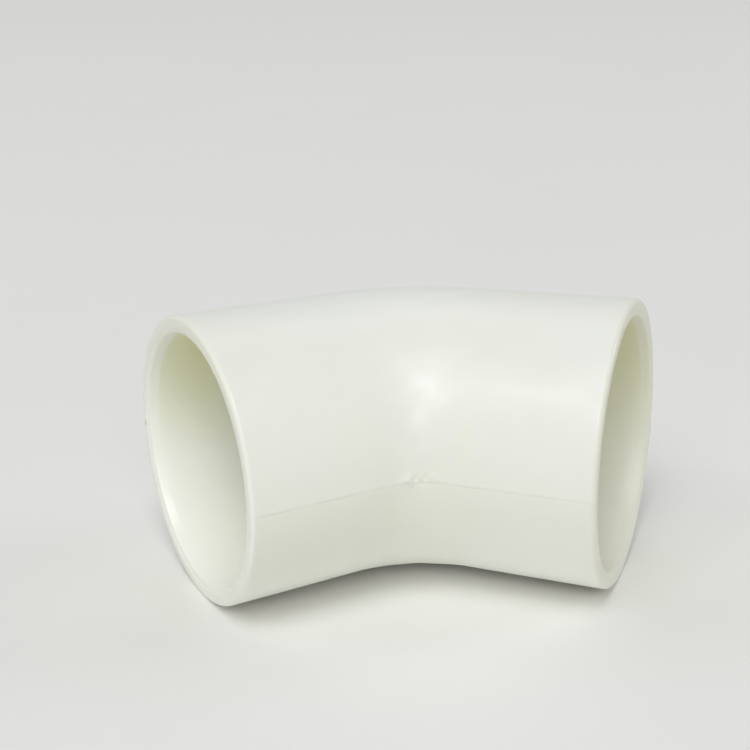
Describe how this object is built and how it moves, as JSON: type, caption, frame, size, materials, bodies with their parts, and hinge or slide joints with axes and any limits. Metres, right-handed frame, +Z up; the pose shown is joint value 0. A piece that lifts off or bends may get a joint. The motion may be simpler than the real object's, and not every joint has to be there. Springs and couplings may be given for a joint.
{
  "type": "pipe elbow",
  "caption": "White moulded PVC pipe elbow turning the line by 45 degrees, with a plain solvent-weld socket at each end.",
  "frame": {"origin": "middle of the underside of the elbow's bounding box", "axes": "+X to the right arm, +Y to the back of the bend, +Z up; the two pipe axes cross in the level plane 34.75 mm up and the arms open towards -Y"},
  "size_m": [0.129, 0.0834, 0.0695],
  "materials": {
    "white_pvc": "moulded, satin gloss"
  },
  "bodies": {
    "root": {"elbow_body": "white_pvc"}
  },
  "joints": []
}
